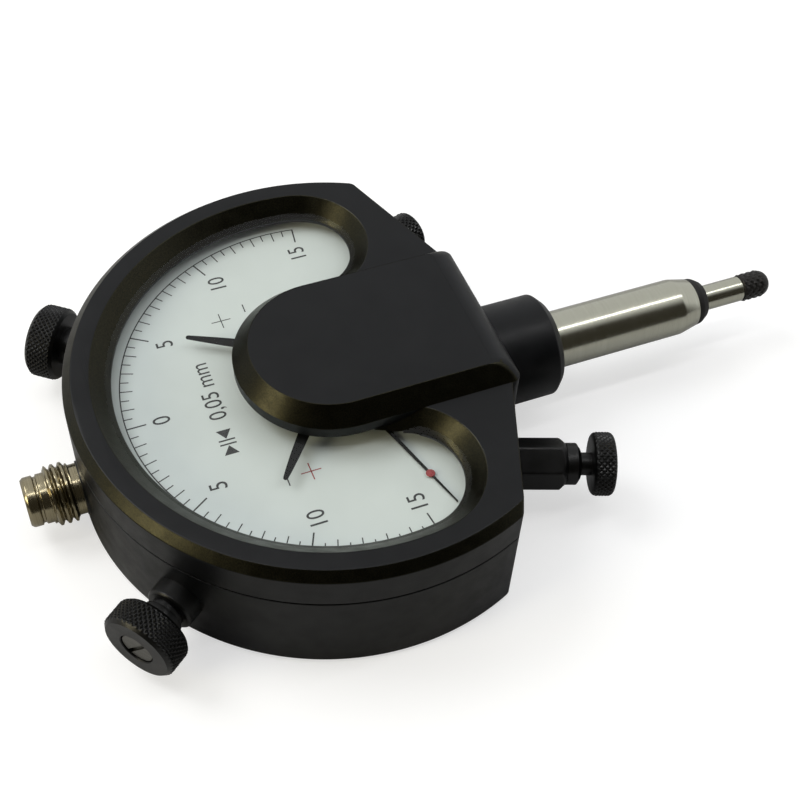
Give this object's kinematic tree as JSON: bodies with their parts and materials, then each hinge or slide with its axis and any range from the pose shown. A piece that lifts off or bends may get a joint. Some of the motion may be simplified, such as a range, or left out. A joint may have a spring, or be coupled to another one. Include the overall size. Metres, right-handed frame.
{
  "type": "precision dial indicator",
  "caption": "Round precision dial indicator with a bridge over the dial, limit hands set by knobs, a lifter, a connector and a spindle in a clamping shank.",
  "frame": {"origin": "on the back face, on the pointer's axis", "axes": "+Z from the back towards the reader, +Y towards twelve o'clock and the connector, -Y along the clamping shank and spindle"},
  "size_m": [0.0664, 0.1079, 0.0215],
  "materials": {
    "black_case": "satin black",
    "black_trim": "satin black, blackened metal",
    "knob_screw": "satin, darkened",
    "hidden_steel": "plain",
    "gasket": "matt",
    "glass": "clear",
    "dial_white": "satin off-white",
    "movement_brass": "brushed",
    "bronze": "plain",
    "ground_steel": "ground, bright",
    "dark_tip": "blackened, knurled",
    "spring_steel": "plain",
    "pointer_black": "matt black",
    "red_mark": "gloss red",
    "nickel": "nickel plated",
    "insulator": "matt"
  },
  "bodies": {
    "case": {"case_body": "black_case", "back_cover": "black_case", "cover_screws": "hidden_steel", "case_screws": "hidden_steel", "seam_gasket": "gasket", "front_ring": "black_case", "bridge_cover": "black_case", "bridge_screws": "hidden_steel", "crystal": "glass", "dial_plate": "dial_white", "movement_plate": "movement_brass", "plate_pillars": "movement_brass", "pillar_screws": "hidden_steel", "lower_bridge": "movement_brass", "centre_post": "bronze", "lower_pivot_bush": "bronze", "limit_bearing_posts": "movement_brass", "limit_bushes": "black_trim", "friction_washers": "black_trim", "stem": "ground_steel", "stem_collar": "black_case", "front_bush": "bronze", "rear_bush": "bronze", "seal_ring": "gasket", "spindle_spring": "spring_steel", "hairspring": "spring_steel", "hairspring_stud": "hidden_steel", "lifter_standoff": "black_trim", "lifter_nut": "black_trim", "lifter_spring": "spring_steel", "adjuster_bush": "black_trim", "connector_shell": "nickel", "connector_washer": "black_trim", "connector_insert": "insulator", "connector_pins": "nickel"},
    "spindle_group": {"spindle": "ground_steel", "driver_pin": "hidden_steel", "contact_tip": "dark_tip"},
    "sector_group": {"sector_lever": "movement_brass", "sector_arbor": "hidden_steel"},
    "pointer_group": {"pointer_arbor": "bronze", "hairspring_collet": "movement_brass", "pointer": "pointer_black", "pointer_diamond": "red_mark"},
    "left_hand_group": {"left_limit_hand": "pointer_black", "left_limit_tube": "movement_brass", "left_limit_wheel": "movement_brass"},
    "right_hand_group": {"right_limit_hand": "pointer_black", "right_limit_rod": "hidden_steel", "right_limit_wheel": "movement_brass"},
    "left_knob_group": {"left_limit_shaft": "hidden_steel", "left_limit_knob": "black_trim", "left_knob_screw": "knob_screw"},
    "right_knob_group": {"right_limit_shaft": "hidden_steel", "right_limit_knob": "black_trim", "right_knob_screw": "knob_screw"},
    "lifter_group": {"lifter_rod": "black_trim", "lifter_knob": "black_trim"},
    "adjuster_group": {"adjuster_screw": "black_trim", "adjuster_knob": "black_trim"}
  },
  "joints": [
    {"name": "spindle_slide", "type": "slide", "parent": "case", "child": "spindle_group", "axis": [0, 1, 0], "range_m": [0, 0.00328], "stiffness_N_per_m": 60, "springref_m": -0.006, "deforming": ["spindle_spring"]},
    {"name": "sector_swing", "type": "hinge", "parent": "case", "child": "sector_group", "pos_m": [-0.00694, -0.01414, 0.0117], "axis": [0, 0, 1], "range_deg": [-0.5, 27.5]},
    {"name": "pointer_turn", "type": "hinge", "parent": "case", "child": "pointer_group", "pos_m": [0, 0, 0.0142], "axis": [0, 0, 1], "range_deg": [-217, 2], "deforming": ["hairspring"]},
    {"name": "left_knob_turn", "type": "hinge", "parent": "case", "child": "left_knob_group", "pos_m": [-0.02435, 0.03173, 0.0072], "axis": [-0.6088, 0.7934, 0], "range_deg": [-1067, 330]},
    {"name": "left_hand_turn", "type": "hinge", "parent": "case", "child": "left_hand_group", "pos_m": [0, 0, 0.0159], "axis": [0, 0, 1], "range_deg": [-152.6, 47.4]},
    {"name": "right_knob_turn", "type": "hinge", "parent": "case", "child": "right_knob_group", "pos_m": [0.02435, 0.03173, 0.0072], "axis": [0.6088, 0.7934, 0], "range_deg": [-591, 1206]},
    {"name": "right_hand_turn", "type": "hinge", "parent": "case", "child": "right_hand_group", "pos_m": [0, 0, 0.0162], "axis": [0, 0, 1], "range_deg": [-65.8, 134.2]},
    {"name": "lifter_push", "type": "slide", "parent": "case", "child": "lifter_group", "axis": [0.3453, 0.9385, 0], "range_m": [0, 0.0012], "stiffness_N_per_m": 300, "springref_m": -0.004, "deforming": ["lifter_spring"]},
    {"name": "adjuster_turn", "type": "hinge", "parent": "case", "child": "adjuster_group", "pos_m": [0.0259, -0.02046, 0.00924], "axis": [0.3453, -0.9385, 0], "range_deg": [-180, 180]}
  ],
  "couplings": [
    {"joint": "sector_swing", "follows": "spindle_slide", "rad_per_m": 142.82},
    {"joint": "pointer_turn", "follows": "spindle_slide", "rad_per_m": -1142.6},
    {"joint": "left_hand_turn", "follows": "left_knob_turn", "ratio": 0.14286},
    {"joint": "right_hand_turn", "follows": "right_knob_turn", "ratio": 0.11111}
  ]
}
